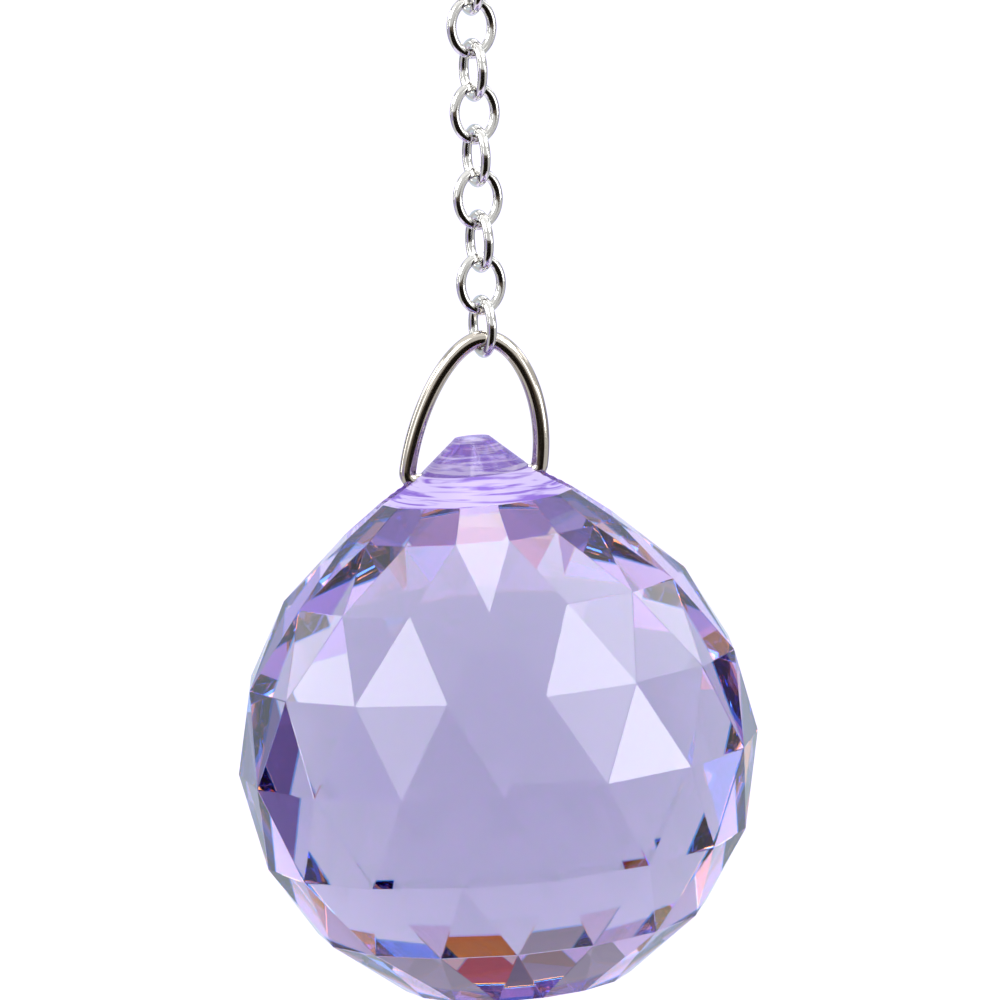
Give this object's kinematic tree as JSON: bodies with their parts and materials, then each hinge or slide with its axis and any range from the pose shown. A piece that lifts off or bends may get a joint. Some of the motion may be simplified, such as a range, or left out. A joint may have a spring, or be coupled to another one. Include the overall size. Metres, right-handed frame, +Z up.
{
  "type": "faceted crystal ball",
  "caption": "Lavender faceted crystal ball with a drawn-out drilled tip, swinging on a bent wire bail under a short cable chain and hanging ring.",
  "frame": {"origin": "inside top of the hanging ring, where a hook bears", "axes": "+Z up along the chain, +X to the right across the bail, -Y towards the viewer"},
  "size_m": [0.03, 0.03, 0.0665],
  "materials": {
    "lavender_crystal": "clear lavender lead crystal, cut and polished facets",
    "nickel_wire": "bright nickel-plated drawn wire",
    "silver_chain": "bright silver-plated soldered wire links",
    "silver_ring": "bright silver-plated round wire ring"
  },
  "bodies": {
    "hanger": {"hang_ring": "silver_ring", "chain_link_9": "silver_chain", "chain_link_8": "silver_chain", "chain_link_7": "silver_chain", "chain_link_6": "silver_chain", "chain_link_5": "silver_chain", "chain_link_4": "silver_chain", "chain_link_3": "silver_chain", "chain_link_2": "silver_chain", "chain_link_1": "silver_chain", "bail": "nickel_wire"},
    "crystal": {"crystal_ball": "lavender_crystal"}
  },
  "joints": [
    {"name": "ball_swing", "type": "hinge", "parent": "hanger", "child": "crystal", "pos_m": [-0.00073, 0, -0.03598], "axis": [0.9989, 0, 0.0464], "range_deg": [-45, 45]}
  ]
}
